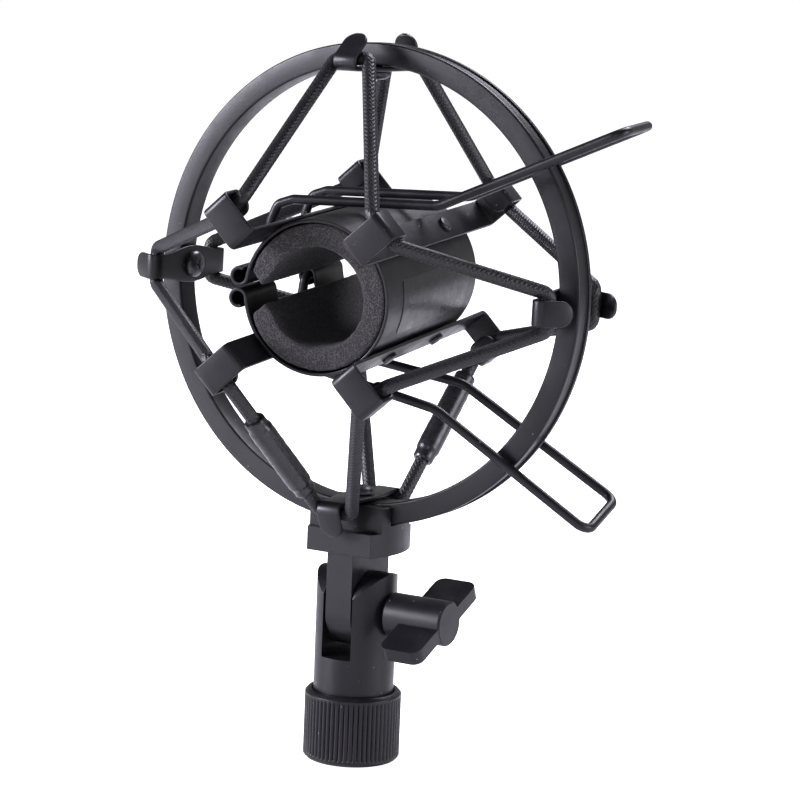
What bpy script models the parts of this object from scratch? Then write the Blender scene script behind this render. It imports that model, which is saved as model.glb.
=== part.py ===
"""Spider shock mount for a studio microphone, modelled as separate pieces.

Metres, +Z up. The origin is the centre of the stand thread's mouth, at the bottom of the collar.
The suspension ring's axis is Y, and the thumbscrew is on the +X side.
The cradle that grips the microphone has its own frame: x to the right, y along its bore, z up.
"""

import math

import bmesh
import bpy
from mathutils import Matrix, Vector

MM = 0.001
GAP = 0.3 * MM  # running clearance between neighbouring pieces

# Stand fitting
COLLAR_R = 12.2 * MM
COLLAR_HEIGHT = 17.5 * MM
COLLAR_CHAMFER = 0.8 * MM
SOCKET_R = 7.9 * MM  # female 5/8 inch thread
SOCKET_DEPTH = 11.5 * MM
RECESS_R = 10.45 * MM
RECESS_FLOOR = 14.5 * MM
PIVOT_SCREW_R = 2.9 * MM
PIVOT_SCREW_HEAD_R = 6.0 * MM
PIVOT_SCREW_END = 22.0 * MM

# Fork and tilt joint
TUBE_R = 10.15 * MM
SLOT_WIDTH = 8.4 * MM
SLOT_FLOOR = 26.7 * MM
PIVOT_Z = 37.9 * MM
EAR_ROUND_R = 10.25 * MM
BOLT_R = 2.9 * MM
BOLT_END_X = 19.5 * MM
BOLT_START_X = -9.4 * MM
TONGUE_WIDTH = 7.4 * MM
TONGUE_R = 9.0 * MM

# Thumbscrew
KNOB_R = 5.65 * MM
KNOB_START_X = 10.5 * MM
KNOB_END_X = 26.9 * MM
WING_START_X = 15.6 * MM
WING_TIP_R = 16.2 * MM
WING_THICKNESS = 3.5 * MM
WING_CORNER_R = 2.5 * MM
WING_TURN = math.radians(23.0)

# Ring and its seat
RING_Z = 120.2 * MM
RING_OUTER_R = 60.0 * MM
RING_INNER_R = 54.5 * MM
RING_DEPTH = 6.92 * MM
RING_GROOVE_WIDTH = 4.0 * MM
RING_GROOVE_DEPTH = 0.5 * MM
RING_CHAMFER = 0.5 * MM
SEAT_BOTTOM = 53.4 * MM
SEAT_LIP = 59.3 * MM
SEAT_TOP = 65.6 * MM
SEAT_FRONT = 10.0 * MM
SEAT_CORNER_X = 9.2 * MM
SEAT_BULGE_X = 11.6 * MM
SEAT_WALL_Y = 6.9 * MM

# Hooks on the ring
STRIP = 1.0 * MM
HOOK_PLATE_R = 53.5 * MM
HOOK_FLAT = 13.6 * MM
HOOK_BEND_R = 1.9 * MM
HOOK_MID_WIDTH = 9.6 * MM
HOOK_NECK_WIDTH = 6.3 * MM
HOOK_ANGLES = {"top": 90.0, "right": -1.2, "bottom": -90.0, "left": 179.2}
# How far each tab is folded back, in degrees, and its length: front tab, then rear tab.
# The bottom tabs are folded less, to stand clear of the seat.
HOOK_TABS = {
    "top": ((140.0, 7.9 * MM), (112.0, 6.6 * MM)),
    "right": ((140.0, 7.0 * MM), (118.0, 6.8 * MM)),
    "bottom": ((115.0, 6.4 * MM), (115.0, 6.4 * MM)),
    "left": ((125.0, 7.0 * MM), (120.0, 7.0 * MM)),
}
SCREW_R = 1.5 * MM
SCREW_HEAD_R = 3.4 * MM
SCREW_HEAD_HEIGHT = 1.9 * MM
SCREW_CHAMFER = 0.4 * MM
SCREW_END_R = 59.2 * MM
SEAT_SCREW_END_R = 63.5 * MM

# Cradle
CRADLE_CENTRE = Vector((0.1, -3.0, 120.9)) * MM
CRADLE_YAW = math.radians(7.4)
CRADLE_PITCH = math.radians(3.2)
CRADLE_ROLL = math.radians(-3.4)
SLEEVE_R = 18.575 * MM  # middle of the sheet
SHEET = 0.85 * MM
SLEEVE_HALF_LENGTH = 28.7 * MM
ROLL_R = 2.03 * MM  # middle of the sheet in a knuckle
ROLL_SWEEP = 292.0
ROLL_ANGLE = 172.5
WINDOW_HALF_LENGTH = 11.5 * MM
WINDOW_HALF_HEIGHT = 5.2 * MM
SEAM = 0.15 * MM
FOAM_OUTER_R = 17.8 * MM
FOAM_INNER_R = 12.3 * MM
FOAM_HALF_LENGTH = 28.4 * MM
# Where each pad's free end leaves the sheet, its outer and inner corner, and where its bore ends.
UPPER_FOAM_END = (158.0, (-17.0 * MM, 4.3 * MM), (-14.5 * MM, 0.9 * MM), 146.0)
LOWER_FOAM_END = (-155.0, (-16.2 * MM, -6.0 * MM), (-13.1 * MM, -3.1 * MM), -154.0)
FOAM_SEAM = 0.6  # degrees from the spine

# Clip bars on the cradle
BAR_ANGLES = {"upper_left": 135.0, "upper_right": 45.0, "lower_right": -45.0, "lower_left": 225.0}
BAR_WIDTH = 7.6 * MM
BAR_R = 19.9 * MM
BAR_END_Y = 41.8 * MM
BAR_REAR_EXTRA = 1.6 * MM  # how much further the rear clips are from the middle
CLIP_R = 30.8 * MM
CLIP_BACK_Y = 34.5 * MM
CLIP_TAB_END_R = 25.3 * MM
BAR_BEND_R = 1.2 * MM
BAR_CORNER_R = 2.6 * MM
RIVET_Y = 15.0 * MM
RIVET_R = 1.0 * MM
RIVET_HEAD_R = 1.9 * MM

# Squeeze handles
WIRE_R = 1.2 * MM
LEG_Y = 10.3 * MM
FOOT_END_Y = 22.0 * MM
FOOT_TURN_R = 1.8 * MM
LEG_TURN_RADII = (8.0, 2.5, 3.5, 9.0, 3.2)
# Corners of the near and the far leg in the cradle's x and z, in millimetres: 1 is the upper handle.
HANDLE_LEGS = {
    1: (
        ((-21.6, 13.6), (-19.8, 18.3), (-15.7, 20.0), (22.7, 23.1), (67.2, 46.0)),
        ((-21.6, 13.6), (-19.8, 18.3), (-15.7, 20.0), (22.7, 23.1), (67.2, 46.0)),
    ),
    -1: (
        ((-21.6, -13.6), (-19.8, -18.0), (-15.5, -19.8), (25.8, -26.5), (66.8, -50.2)),
        ((-21.6, -13.6), (-19.8, -18.0), (-15.5, -19.8), (24.8, -23.9), (66.6, -46.9)),
    ),
}

# Elastic cords
CORD_R = 1.75 * MM
CORD_HOOK_Y = {-1: 11.8 * MM, 1: 12.5 * MM}  # at the front and at the rear
CORD_HOOK_R = 56.1 * MM
CORD_HOOK_REACH = 4.5 * MM  # from the hook's middle to where the cord turns away
CORD_CLIP_Y = 37.1 * MM
CORD_CLIP_R = 28.25 * MM
CORD_CLIP_REACH = 4.6 * MM
CORD_TURN_R = 2.2 * MM
SHRINK_R = 3.1 * MM
SHRINK_LENGTH = 26.0 * MM
SHRINK_STEP = 0.35 * MM
# The span that each shrink sleeve is on, from one corner of the cord's route to another, and how
# far along it. Corner 2n is where the cord arrives at station n, and 2n + 1 is where it leaves.
FRONT_SHRINK_PLACE = (10, 9, 0.54)
REAR_SHRINK_PLACE = (7, 8, 0.42)

BLACK_METAL = (0.030, 0.029, 0.033, 1.0)
BLACK_RUBBER = (0.020, 0.020, 0.022, 1.0)


def clear_scene():
    for obj in list(bpy.data.objects):
        bpy.data.objects.remove(obj)


def make_material(name, colour, roughness, metallic):
    material = bpy.data.materials.new(name)
    material.use_nodes = True
    shader = material.node_tree.nodes["Principled BSDF"]
    shader.inputs["Base Color"].default_value = colour
    shader.inputs["Roughness"].default_value = roughness
    shader.inputs["Metallic"].default_value = metallic
    return material


def make_pivot(name, position, parent=None):
    """An empty on a joint's axis, which the pieces of the moving body are parented to."""
    pivot = bpy.data.objects.new(name, None)
    pivot.empty_display_size = 10 * MM
    bpy.context.scene.collection.objects.link(pivot)
    place(pivot, Matrix.Translation(position), parent)
    return pivot


def world_matrix(obj):
    matrix = obj.matrix_basis.copy()
    if obj.parent:
        matrix = world_matrix(obj.parent) @ obj.matrix_parent_inverse @ matrix
    return matrix


def place(obj, matrix, parent=None):
    """Sets the object's place in the world, also when it hangs on a parent."""
    if parent:
        obj.parent = parent
        obj.matrix_parent_inverse = world_matrix(parent).inverted()
    obj.matrix_basis = matrix


def add_mesh(name, bm, material, matrix=None, parent=None, cutter=False):
    """Makes the named object from a bmesh; a cutter only serves a Boolean."""
    bmesh.ops.remove_doubles(bm, verts=bm.verts, dist=1e-7)
    bmesh.ops.recalc_face_normals(bm, faces=bm.faces)
    mesh = bpy.data.meshes.new(name)
    bm.to_mesh(mesh)
    bm.free()
    obj = bpy.data.objects.new(name, mesh)
    bpy.context.scene.collection.objects.link(obj)
    place(obj, matrix or Matrix.Identity(4), parent)
    if cutter:
        obj.hide_render = True
        obj.display_type = "WIRE"
        return obj
    mesh.materials.append(material)
    mesh.shade_smooth()
    mesh.set_sharp_from_angle(angle=math.radians(32.0))
    return obj


def combine(obj, other, operation):
    boolean = obj.modifiers.new(other.name, "BOOLEAN")
    boolean.operation = operation
    boolean.solver = "EXACT"
    boolean.object = other


def turned(profile, segments):
    """A solid of revolution about Z from a closed profile of (radius, height) points."""
    bm = bmesh.new()
    rings = []
    for step in range(segments):
        angle = math.tau * step / segments
        ring = [bm.verts.new((r * math.cos(angle), r * math.sin(angle), z)) for r, z in profile]
        rings.append(ring)
    count = len(profile)
    for step, ring in enumerate(rings):
        after = rings[(step + 1) % segments]
        for i in range(count):
            j = (i + 1) % count
            corners = [ring[i], ring[j], after[j], after[i]]
            places = {tuple(round(c, 9) for c in v.co) for v in corners}
            if len(places) < 3:
                continue
            if profile[i][0] == 0:
                corners = [ring[i], ring[j], after[j]]
            elif profile[j][0] == 0:
                corners = [ring[i], ring[j], after[i]]
            bm.faces.new(corners)
    return bm


def shaft(radius, bottom, top, segments=32, chamfer=0.0):
    """A plain round bar along Z, with chamfered ends where a chamfer is given."""
    profile = [(0, bottom), (radius - chamfer, bottom)]
    if chamfer:
        profile += [(radius, bottom + chamfer), (radius, top - chamfer)]
    else:
        profile += [(radius, top)]
    if chamfer:
        profile += [(radius - chamfer, top)]
    profile += [(0, top)]
    return turned(profile, segments)


def extruded(outline, near, far, plane="XY"):
    """A prism: the outline lies in the named plane and is pushed along the third axis."""
    points = {
        "XY": lambda u, v, w: (u, v, w),
        "XZ": lambda u, v, w: (u, w, v),
        "YZ": lambda u, v, w: (w, u, v),
    }
    bm = bmesh.new()
    low = [bm.verts.new(points[plane](u, v, near)) for u, v in outline]
    high = [bm.verts.new(points[plane](u, v, far)) for u, v in outline]
    bm.faces.new(low)
    bm.faces.new(high)
    for i in range(len(outline)):
        j = (i + 1) % len(outline)
        bm.faces.new((low[i], low[j], high[j], high[i]))
    return bm


def box(low, high):
    outline = [(low[0], low[1]), (high[0], low[1]), (high[0], high[1]), (low[0], high[1])]
    return extruded(outline, low[2], high[2])


def arc(centre, radius, start, end, steps):
    """Points on a circle in a plane, with both ends, angles in degrees."""
    points = []
    for i in range(steps + 1):
        angle = math.radians(start + (end - start) * i / steps)
        points.append((centre[0] + radius * math.cos(angle), centre[1] + radius * math.sin(angle)))
    return points


def folded_path(start, moves, bend_steps=5):
    """Walks a sheet's middle line: each move is a length, or a (radius, angle) bend to the left."""
    u, v = start
    heading = 0.0
    points = [(u, v, heading)]
    for move in moves:
        if isinstance(move, tuple):
            radius, turn = move
            centre = (u - radius * math.sin(heading), v + radius * math.cos(heading))
            first = heading
            for i in range(1, bend_steps + 1):
                heading = first + turn * i / bend_steps
                u = centre[0] + radius * math.sin(heading)
                v = centre[1] - radius * math.cos(heading)
                points.append((u, v, heading))
        else:
            u += move * math.cos(heading)
            v += move * math.sin(heading)
            points.append((u, v, heading))
    return points


def folded_strip(path, half_width):
    """A strip of sheet metal bent along the path in the YZ plane; half_width(distance, total) is along X."""
    lengths = [0.0]
    for a, b in zip(path, path[1:]):
        lengths.append(lengths[-1] + math.dist(a[:2], b[:2]))
    bm = bmesh.new()
    sections = []
    for (u, v, heading), run in zip(path, lengths):
        normal = (-math.sin(heading) * STRIP / 2, math.cos(heading) * STRIP / 2)
        half = half_width(run, lengths[-1])
        corners = []
        for side, face in ((-1, -1), (1, -1), (1, 1), (-1, 1)):
            corners.append(bm.verts.new((side * half, u + face * normal[0], v + face * normal[1])))
        sections.append(corners)
    for a, b in zip(sections, sections[1:]):
        for i in range(4):
            j = (i + 1) % 4
            bm.faces.new((a[i], a[j], b[j], b[i]))
    bm.faces.new(sections[0])
    bm.faces.new(sections[-1])
    return bm


def joined_path(front, rear):
    """The rear half path from the middle on, with the front half path mirrored before it."""
    before = [(-u, v, -heading) for u, v, heading in reversed(front)]
    return before + rear[1:]


def with_end_points(half, distances):
    """Adds points near the free end of a path, where the strip's corners are rounded."""
    (u0, v0, heading), (u1, v1, _) = half[-2], half[-1]
    length = math.dist((u0, v0), (u1, v1))
    points = half[:-1]
    for distance in distances:
        share = 1 - distance / length
        points.append((u0 + (u1 - u0) * share, v0 + (v1 - v0) * share, half[-1][2]))
    return points


def rounded_route(points, radii, closed=False, turn_steps=4):
    """Points of a wire or cord that runs straight between corners and turns each on an arc."""
    count = len(points)
    route = []
    for i, corner in enumerate(points):
        if not closed and i in (0, count - 1):
            route.append(corner)
            continue
        to_last = (points[i - 1] - corner).normalized()
        to_next = (points[(i + 1) % count] - corner).normalized()
        inside = to_last.angle(to_next)
        radius = radii[i] if isinstance(radii, list) else radii
        trim = radius / math.tan(inside / 2)
        centre = corner + (to_last + to_next).normalized() * (radius / math.sin(inside / 2))
        first = corner + to_last * trim - centre
        last = corner + to_next * trim - centre
        sweep = first.angle(last)
        for step in range(turn_steps + 1):
            share = step / turn_steps
            point = first * math.sin((1 - share) * sweep) + last * math.sin(share * sweep)
            route.append(centre + point / math.sin(sweep))
    return route


def add_wire(name, route, radius, material, sides, closed=False, parent=None):
    """A round wire or cord along the route, as a bevelled curve with filled caps."""
    curve = bpy.data.curves.new(name, "CURVE")
    curve.dimensions = "3D"
    curve.bevel_depth = radius
    curve.bevel_resolution = sides
    curve.use_fill_caps = True
    spline = curve.splines.new("POLY")
    spline.points.add(len(route) - 1)
    origin = world_matrix(parent).translation if parent else Vector()
    for point, place_in_world in zip(spline.points, route):
        point.co = (*(place_in_world - origin), 1)
    spline.use_cyclic_u = closed
    curve.materials.append(material)
    obj = bpy.data.objects.new(name, curve)
    bpy.context.scene.collection.objects.link(obj)
    place(obj, Matrix.Translation(origin), parent)
    return obj


ALONG_X = Matrix.Rotation(math.radians(90.0), 4, "Y")  # turns a Z shaft onto the X axis
PIVOT = Matrix.Translation((0, 0, PIVOT_Z))
RING_CENTRE = Matrix.Translation((0, 0, RING_Z))


def cradle_frame():
    """The cradle's own axes: x across, y along the bore to the far end, z up."""
    across = Vector((math.cos(CRADLE_YAW), math.sin(CRADLE_YAW), 0))
    level = Vector((-across.y, across.x, 0)) * math.cos(CRADLE_PITCH)
    bore = level + Vector((0, 0, math.sin(CRADLE_PITCH)))
    basis = Matrix((across, bore, across.cross(bore))).transposed().to_4x4()
    # A negative roll turns x downwards about the bore axis.
    return Matrix.Translation(CRADLE_CENTRE) @ basis @ Matrix.Rotation(-CRADLE_ROLL, 4, "Y")


CRADLE = cradle_frame()


def radial(angle):
    """Turns a piece made about +Z so that its +Z points out at this angle in the XZ plane."""
    return Matrix.Rotation(math.radians(90.0 - angle), 4, "Y")


# --- Stand fitting and swivel ---


def add_collar(material):
    chamfer = COLLAR_CHAMFER
    profile = [
        (SOCKET_R + chamfer, 0),
        (COLLAR_R - chamfer, 0),
        (COLLAR_R, chamfer),
        (COLLAR_R, COLLAR_HEIGHT - chamfer),
        (COLLAR_R - chamfer, COLLAR_HEIGHT),
        (RECESS_R, COLLAR_HEIGHT),
        (RECESS_R, RECESS_FLOOR),
        (PIVOT_SCREW_R + GAP, RECESS_FLOOR),
        (PIVOT_SCREW_R + GAP, SOCKET_DEPTH),
        (SOCKET_R, SOCKET_DEPTH),
        (SOCKET_R, chamfer),
    ]
    add_mesh("knurled_collar", turned(profile, 48), material)


def add_swivel(material, parent):
    washer_top = SOCKET_DEPTH - GAP
    washer_bottom = washer_top - 0.7 * MM
    head_top = washer_bottom - GAP
    head_bottom = head_top - 2.2 * MM
    washer = [
        (PIVOT_SCREW_R + GAP, washer_bottom),
        (PIVOT_SCREW_HEAD_R + 0.8 * MM, washer_bottom),
        (PIVOT_SCREW_HEAD_R + 0.8 * MM, washer_top),
        (PIVOT_SCREW_R + GAP, washer_top),
    ]
    add_mesh("swivel_washer", turned(washer, 32), material, parent=parent)
    screw = [
        (0, head_bottom),
        (PIVOT_SCREW_HEAD_R - 0.6 * MM, head_bottom),
        (PIVOT_SCREW_HEAD_R, head_bottom + 0.6 * MM),
        (PIVOT_SCREW_HEAD_R, head_top),
        (PIVOT_SCREW_R, head_top),
        (PIVOT_SCREW_R, PIVOT_SCREW_END),
        (0, PIVOT_SCREW_END),
    ]
    add_mesh("swivel_screw", turned(screw, 32), material, parent=parent)


def add_fork(material, parent):
    bottom = RECESS_FLOOR + GAP
    top = PIVOT_Z + EAR_ROUND_R + MM
    fork = add_mesh("fork_tube", shaft(TUBE_R, bottom, top, 64, 0.4 * MM), material, parent=parent)
    side = TUBE_R + 2 * MM
    ear = [(-side, 0), (side, 0), (side, PIVOT_Z)]
    ear += arc((0, PIVOT_Z), EAR_ROUND_R, 0, 180, 32)
    ear += [(-side, PIVOT_Z)]
    keep = add_mesh("ear_shape", extruded(ear, -side, side, "YZ"), None, cutter=True)
    combine(fork, keep, "INTERSECT")
    slot = box((-SLOT_WIDTH / 2, -side, SLOT_FLOOR), (SLOT_WIDTH / 2, side, top + MM))
    combine(fork, add_mesh("slot_cutter", slot, None, cutter=True), "DIFFERENCE")
    cross = add_mesh("ear_bore", shaft(BOLT_R + GAP, -side, side), None, PIVOT @ ALONG_X, cutter=True)
    combine(fork, cross, "DIFFERENCE")
    bore = shaft(PIVOT_SCREW_R + GAP, bottom - MM, PIVOT_SCREW_END + 2 * GAP)
    combine(fork, add_mesh("swivel_bore", bore, None, cutter=True), "DIFFERENCE")


def add_thumbscrew(material, steel, parent):
    bore_end = BOLT_END_X + 0.5 * MM
    edge = 0.5 * MM
    profile = [
        (BOLT_R + GAP, KNOB_START_X),
        (KNOB_R - edge, KNOB_START_X),
        (KNOB_R, KNOB_START_X + edge),
        (KNOB_R, KNOB_END_X - edge),
        (KNOB_R - edge, KNOB_END_X),
        (0, KNOB_END_X),
        (0, bore_end),
        (BOLT_R + GAP, bore_end),
    ]
    knob = add_mesh("wing_knob", turned(profile, 40), material, PIVOT @ ALONG_X, parent)
    corner = WING_CORNER_R
    far_x = KNOB_END_X - 0.15 * MM
    outline = []
    for centre, start in (
        ((WING_TIP_R - corner, far_x - corner), 0),
        ((corner - WING_TIP_R, far_x - corner), 90),
        ((corner - WING_TIP_R, WING_START_X + corner), 180),
        ((WING_TIP_R - corner, WING_START_X + corner), 270),
    ):
        outline += arc(centre, corner, start, start + 90, 5)
    wings = extruded(outline, -WING_THICKNESS / 2, WING_THICKNESS / 2, "YZ")
    # The plate crosses the bolt, so the bore is cut again after the two are joined.
    plate_place = PIVOT @ ALONG_X @ Matrix.Rotation(WING_TURN, 4, "Z")
    plate = add_mesh("wing_plate", wings, None, plate_place, cutter=True)
    combine(knob, plate, "UNION")
    bore = shaft(BOLT_R + GAP, KNOB_START_X - MM, bore_end)
    combine(knob, add_mesh("knob_bore", bore, None, PIVOT @ ALONG_X, cutter=True), "DIFFERENCE")
    bolt = shaft(BOLT_R, BOLT_START_X, BOLT_END_X, 32, 0.4 * MM)
    add_mesh("clamp_bolt", bolt, steel, PIVOT @ ALONG_X, parent)


# --- Tilting head: seat, ring, hooks and screws ---


def seat_outline():
    """The seat's plan, flat at the front and back, with bulging sides."""
    reach = SEAT_FRONT**2 - (SEAT_BULGE_X**2 - SEAT_CORNER_X**2)
    centre_x = -reach / (2 * (SEAT_BULGE_X - SEAT_CORNER_X))
    radius = SEAT_BULGE_X - centre_x
    sweep = math.degrees(math.asin(SEAT_FRONT / radius))
    right = arc((centre_x, 0), radius, -sweep, sweep, 12)
    return right + [(-x, -y) for x, y in right]


def add_tilt_block(material, parent):
    seat = extruded(seat_outline(), SEAT_BOTTOM, SEAT_TOP)
    block = add_mesh("tilt_block", seat, material, parent=parent)
    reach = 2 * SEAT_FRONT
    for name, near, far in (("front_step", -reach, -SEAT_WALL_Y), ("rear_step", SEAT_WALL_Y, reach)):
        step = box((-reach, near, SEAT_LIP), (reach, far, SEAT_TOP + MM))
        combine(block, add_mesh(name, step, None, cutter=True), "DIFFERENCE")
    tongue = arc((0, PIVOT_Z), TONGUE_R, 180, 360, 24)
    tongue += [(TONGUE_R, SEAT_BOTTOM + MM), (-TONGUE_R, SEAT_BOTTOM + MM)]
    tongue = extruded(tongue, -TONGUE_WIDTH / 2, TONGUE_WIDTH / 2, "YZ")
    combine(block, add_mesh("tongue", tongue, None, cutter=True), "UNION")
    half = RING_DEPTH / 2 + GAP
    channel = [
        (RING_OUTER_R + GAP, half),
        (RING_OUTER_R + GAP, -half),
        (RING_INNER_R - 3 * MM, -half),
        (RING_INNER_R - 3 * MM, half),
    ]
    turn = Matrix.Rotation(math.radians(90.0), 4, "X")
    cutter = add_mesh("ring_channel", turned(channel, 80), None, RING_CENTRE @ turn, cutter=True)
    combine(block, cutter, "DIFFERENCE")
    bore = shaft(BOLT_R + GAP, -SEAT_FRONT, SEAT_FRONT)
    combine(block, add_mesh("tongue_bore", bore, None, PIVOT @ ALONG_X, cutter=True), "DIFFERENCE")
    hole = shaft(SCREW_R + GAP, RING_INNER_R, SEAT_SCREW_END_R + 0.5 * MM)
    down = RING_CENTRE @ radial(HOOK_ANGLES["bottom"])
    combine(block, add_mesh("seat_screw_hole", hole, None, down, cutter=True), "DIFFERENCE")


def add_ring(material, parent):
    half = RING_DEPTH / 2
    groove = RING_GROOVE_WIDTH / 2
    floor = RING_OUTER_R - RING_GROOVE_DEPTH
    profile = [
        (RING_INNER_R, half - RING_CHAMFER),
        (RING_INNER_R + RING_CHAMFER, half),
        (RING_OUTER_R - RING_CHAMFER, half),
        (RING_OUTER_R, half - RING_CHAMFER),
        (RING_OUTER_R, groove),
        (floor, groove),
        (floor, -groove),
        (RING_OUTER_R, -groove),
        (RING_OUTER_R, RING_CHAMFER - half),
        (RING_OUTER_R - RING_CHAMFER, -half),
        (RING_INNER_R + RING_CHAMFER, -half),
        (RING_INNER_R, RING_CHAMFER - half),
    ]
    turn = Matrix.Rotation(math.radians(90.0), 4, "X")
    ring = add_mesh("suspension_ring", turned(profile, 80), material, RING_CENTRE @ turn, parent)
    for side, angle in HOOK_ANGLES.items():
        hole = shaft(SCREW_R + GAP, RING_INNER_R - 2 * MM, RING_OUTER_R + 2 * MM, 16)
        cutter = add_mesh("ring_hole_" + side, hole, None, RING_CENTRE @ radial(angle), cutter=True)
        combine(ring, cutter, "DIFFERENCE")


def hook_half_width(run, total):
    """Lens-shaped in the middle, straight at the tabs, and round at both ends."""
    neck = HOOK_NECK_WIDTH / 2
    from_end = min(run, total - run)
    if from_end < neck:
        return max(math.sqrt(max(neck**2 - (neck - from_end) ** 2, 0)), 0.8 * MM)
    from_middle = abs(run - total / 2)
    if from_middle < HOOK_FLAT:
        swell = (HOOK_MID_WIDTH - HOOK_NECK_WIDTH) / 2
        return neck + swell * (1 + math.cos(math.pi * from_middle / HOOK_FLAT)) / 2
    return neck


def hook_half_path(tab_turn, tab_length):
    neck = HOOK_NECK_WIDTH / 2
    flat = [HOOK_FLAT / 6] * 6
    bend = (HOOK_BEND_R, math.radians(tab_turn))
    half = folded_path((0, HOOK_PLATE_R), [*flat, bend, tab_length], 8)
    return with_end_points(half, [neck * share for share in (1.0, 0.7, 0.4, 0.2, 0.07, 0.0)])


def add_hooks(material, steel, parent):
    for side, angle in HOOK_ANGLES.items():
        matrix = RING_CENTRE @ radial(angle)
        front, rear = HOOK_TABS[side]
        path = joined_path(hook_half_path(*front), hook_half_path(*rear))
        strip = folded_strip(path, hook_half_width)
        hook = add_mesh("ring_hook_" + side, strip, material, matrix, parent)
        hole = shaft(SCREW_R + GAP, HOOK_PLATE_R - 2 * MM, HOOK_PLATE_R + 2 * MM, 16)
        combine(hook, add_mesh("hook_hole_" + side, hole, None, matrix, cutter=True), "DIFFERENCE")
        end = SEAT_SCREW_END_R if side == "bottom" else SCREW_END_R
        add_mesh("hook_screw_" + side, hook_screw(end), steel, matrix, parent)


def hook_screw(end):
    """A pan-head screw that points outwards, with its head inside the ring."""
    seat = HOOK_PLATE_R - STRIP / 2 - GAP
    profile = [
        (0, seat - SCREW_HEAD_HEIGHT),
        (SCREW_HEAD_R * 0.55, seat - SCREW_HEAD_HEIGHT * 0.95),
        (SCREW_HEAD_R * 0.85, seat - SCREW_HEAD_HEIGHT * 0.7),
        (SCREW_HEAD_R, seat - SCREW_HEAD_HEIGHT * 0.3),
        (SCREW_HEAD_R, seat),
        (SCREW_R, seat),
        (SCREW_R, end - SCREW_CHAMFER),
        (SCREW_R - SCREW_CHAMFER, end),
        (0, end),
    ]
    return turned(profile, 20)


# --- Cradle: sleeve halves, foam, bars, rivets and handles ---


def knuckle_centre(side):
    """Centre of a rolled knuckle, which is also its handle's axis: side is 1 above the slit and -1 below."""
    angle = math.radians(ROLL_ANGLE)
    away = SLEEVE_R + ROLL_R
    return away * math.cos(angle), away * math.sin(angle) * side


def sleeve_path(side):
    """Middle line of one half, from the spine to the end of its rolled knuckle."""
    first = math.degrees(SEAM / SLEEVE_R)
    points = arc((0, 0), SLEEVE_R, first, ROLL_ANGLE, 32)
    start = ROLL_ANGLE - 180.0
    points += arc(knuckle_centre(1), ROLL_R, start, start - ROLL_SWEEP, 18)[1:]
    return [(x, z * side) for x, z in points]


def sheet_along(points, half_length):
    """A sheet whose middle line lies in the XZ plane, extended along Y both ways."""
    bm = bmesh.new()
    sections = []
    for i, (x, z) in enumerate(points):
        before = Vector(points[max(i - 1, 0)])
        after = Vector(points[min(i + 1, len(points) - 1)])
        along = (after - before).normalized()
        normal = Vector((-along.y, along.x)) * SHEET / 2
        section = []
        for face, end in ((-1, -1), (1, -1), (1, 1), (-1, 1)):
            section.append(bm.verts.new((x + face * normal.x, end * half_length, z + face * normal.y)))
        sections.append(section)
    for a, b in zip(sections, sections[1:]):
        for i in range(4):
            j = (i + 1) % 4
            bm.faces.new((a[i], a[j], b[j], b[i]))
    bm.faces.new(sections[0])
    bm.faces.new(sections[-1])
    return bm


def add_sleeve_half(name, side, material, parent):
    sheet = sheet_along(sleeve_path(side), SLEEVE_HALF_LENGTH)
    half = add_mesh(name, sheet, material, CRADLE, parent)
    low, high = sorted((0.0, side * WINDOW_HALF_HEIGHT))
    window = box((-25 * MM, -WINDOW_HALF_LENGTH, low - 0.1 * MM), (-15 * MM, WINDOW_HALF_LENGTH, high))
    combine(half, add_mesh(name + "_window", window, None, CRADLE, cutter=True), "DIFFERENCE")
    for bar, angle in BAR_ANGLES.items():
        if math.sin(math.radians(angle)) * side < 0:
            continue
        for end in (-1, 1):
            matrix = CRADLE @ radial(angle) @ Matrix.Translation((0, end * RIVET_Y, 0))
            hole = shaft(RIVET_R + GAP, SLEEVE_R - 2 * MM, SLEEVE_R + 2 * MM, 12)
            cutter = add_mesh(f"{bar}_sleeve_hole_{end + 2}", hole, None, matrix, cutter=True)
            combine(half, cutter, "DIFFERENCE")


def foam_outline(side):
    """A pad's section: it hugs the sheet, and its free end leans in towards the slit."""
    outer_end, outer_corner, inner_corner, inner_end = UPPER_FOAM_END if side > 0 else LOWER_FOAM_END
    outer = arc((0, 0), FOAM_OUTER_R, FOAM_SEAM * side, outer_end, 26)
    inner = arc((0, 0), FOAM_INNER_R, inner_end, 1.5 * FOAM_SEAM * side, 22)
    return outer + [outer_corner, inner_corner] + inner


def add_foam(name, side, material, parent):
    pad = extruded(foam_outline(side), -FOAM_HALF_LENGTH, FOAM_HALF_LENGTH, "XZ")
    add_mesh(name, pad, material, CRADLE, parent)


def bar_half_width(run, total):
    """Full width, with rounded corners at both tab ends."""
    from_end = min(run, total - run)
    short = max(BAR_CORNER_R - from_end, 0.0)
    return BAR_WIDTH / 2 - BAR_CORNER_R + math.sqrt(BAR_CORNER_R**2 - short**2)


def clip_half_path(extra):
    """The bar's middle line from its centre to a tab end, with extra length before the clip."""
    bend = (BAR_BEND_R, math.radians(90.0))
    moves = [
        BAR_END_Y + extra - BAR_BEND_R,
        bend,
        CLIP_R - BAR_R - 2 * BAR_BEND_R,
        bend,
        BAR_END_Y - CLIP_BACK_Y - 2 * BAR_BEND_R,
        bend,
        CLIP_R - BAR_BEND_R - CLIP_TAB_END_R,
    ]
    rounding = [BAR_CORNER_R * share for share in (1.0, 0.6, 0.3, 0.1, 0.0)]
    return with_end_points(folded_path((0, BAR_R), moves), rounding)


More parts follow.
